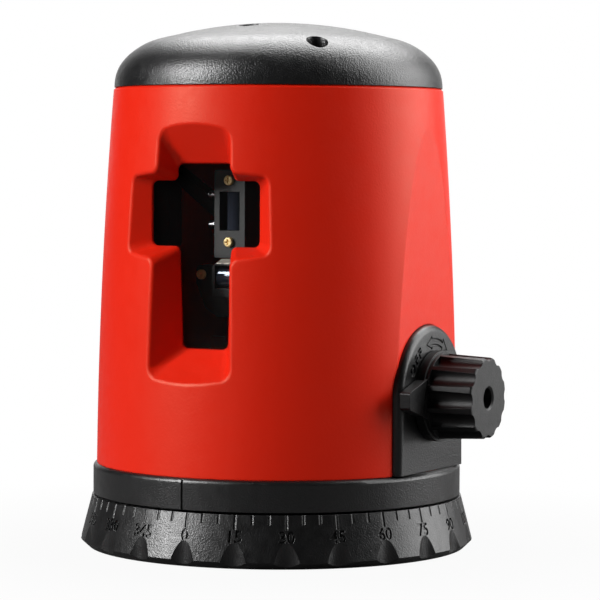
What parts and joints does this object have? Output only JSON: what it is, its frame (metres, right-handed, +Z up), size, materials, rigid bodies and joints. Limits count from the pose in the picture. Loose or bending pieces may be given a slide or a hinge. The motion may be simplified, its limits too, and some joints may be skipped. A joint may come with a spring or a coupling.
{
  "type": "cross line laser level",
  "caption": "Self-levelling cross line laser level: round housing with a flared cross window, domed cap and side lock knob, turning on a graduated base.",
  "frame": {"origin": "on the turning axis, on the surface that the foot stands on, at the mouth of the tripod thread", "axes": "+Z up along the turning axis; -Y the way the cross window faces at rest; +X towards the lock knob"},
  "size_m": [0.1002, 0.0914, 0.122],
  "materials": {
    "red_plastic": "semi-gloss moulded",
    "black_plastic": "fine spark-eroded grain",
    "inner_plastic": "plain moulded",
    "module_plastic": "satin dark grey",
    "bearing_plastic": "slippery white",
    "window_glass": "clear",
    "lens_glass": "polished",
    "brass": "turned",
    "copper": "flat sheet",
    "steel": "zinc plated",
    "dark_steel": "black oxide",
    "magnet": "nickel plated",
    "aluminium": "die cast",
    "rubber": "soft matt",
    "board": "solder mask",
    "cell": "printed sleeve"
  },
  "bodies": {
    "base": {"base_skirt": "black_plastic", "base_plate": "inner_plastic", "tripod_insert": "brass", "foot_ring": "rubber", "base_screws": "steel", "thrust_washer": "bearing_plastic"},
    "head": {"base_collar": "black_plastic", "spring_washer": "steel", "retaining_ring": "steel", "housing": "red_plastic", "housing_screws": "steel", "window_glass": "window_glass", "top_cap": "black_plastic", "cap_screws": "steel", "main_board": "board", "board_screws": "steel", "tact_switch": "inner_plastic", "side_panel": "black_plastic", "panel_screws": "steel", "shaft_bushes": "brass", "lock_bracket": "inner_plastic", "bracket_screws": "steel", "magnet_yoke": "steel", "damper_magnets": "magnet", "yoke_screws": "steel", "power_switch": "inner_plastic", "gimbal_frame": "inner_plastic", "outer_bearings": "steel", "battery_box": "red_plastic", "box_screws": "steel", "battery_cells": "cell", "battery_contacts": "steel", "battery_leads": "rubber"},
    "battery_door": {"battery_door": "red_plastic"},
    "mode_button": {"mode_button": "inner_plastic"},
    "knob": {"knob": "black_plastic", "knob_screw": "steel", "knob_shaft": "steel"},
    "lifter": {"lock_lifter": "inner_plastic", "brake_pad": "rubber"},
    "gimbal": {"gimbal_ring": "aluminium", "gimbal_pins": "steel"},
    "pendulum": {"pendulum_frame": "aluminium", "inner_bearings": "steel", "upper_module": "module_plastic", "lower_module": "module_plastic", "upper_lens": "lens_glass", "lower_lens": "lens_glass", "laser_barrels": "brass", "module_screws": "brass", "trim_screws": "dark_steel", "counterweight": "brass", "weight_screws": "steel", "damper_disc": "copper", "brake_button": "inner_plastic", "pendulum_leads": "rubber"}
  },
  "joints": [
    {"name": "head_turn", "type": "hinge", "parent": "base", "child": "head", "pos_m": [0, 0, 0.0129], "axis": [0, 0, 1], "continuous": true},
    {"name": "battery_door_off", "type": "slide", "parent": "head", "child": "battery_door", "axis": [0, 1, 0], "range_m": [0, 0.03]},
    {"name": "mode_press", "type": "slide", "parent": "head", "child": "mode_button", "axis": [0, 0, -1], "range_m": [0, 0.0007], "stiffness_N_per_m": 800},
    {"name": "knob_turn", "type": "hinge", "parent": "head", "child": "knob", "pos_m": [0.03, 0, 0.037], "axis": [-1, 0, 0], "range_deg": [0, 180]},
    {"name": "lifter_slide", "type": "slide", "parent": "head", "child": "lifter", "axis": [0, 0, -1], "range_m": [0, 0.0021]},
    {"name": "gimbal_tilt", "type": "hinge", "parent": "head", "child": "gimbal", "pos_m": [0, 0, 0.098], "axis": [1, 0, 0], "range_deg": [-5, 5]},
    {"name": "pendulum_tilt", "type": "hinge", "parent": "gimbal", "child": "pendulum", "pos_m": [0, 0, 0.098], "axis": [0, 1, 0], "range_deg": [-5, 5]}
  ],
  "couplings": [
    {"joint": "knob_turn", "follows": "lifter_slide", "rad_per_m": 1496}
  ]
}
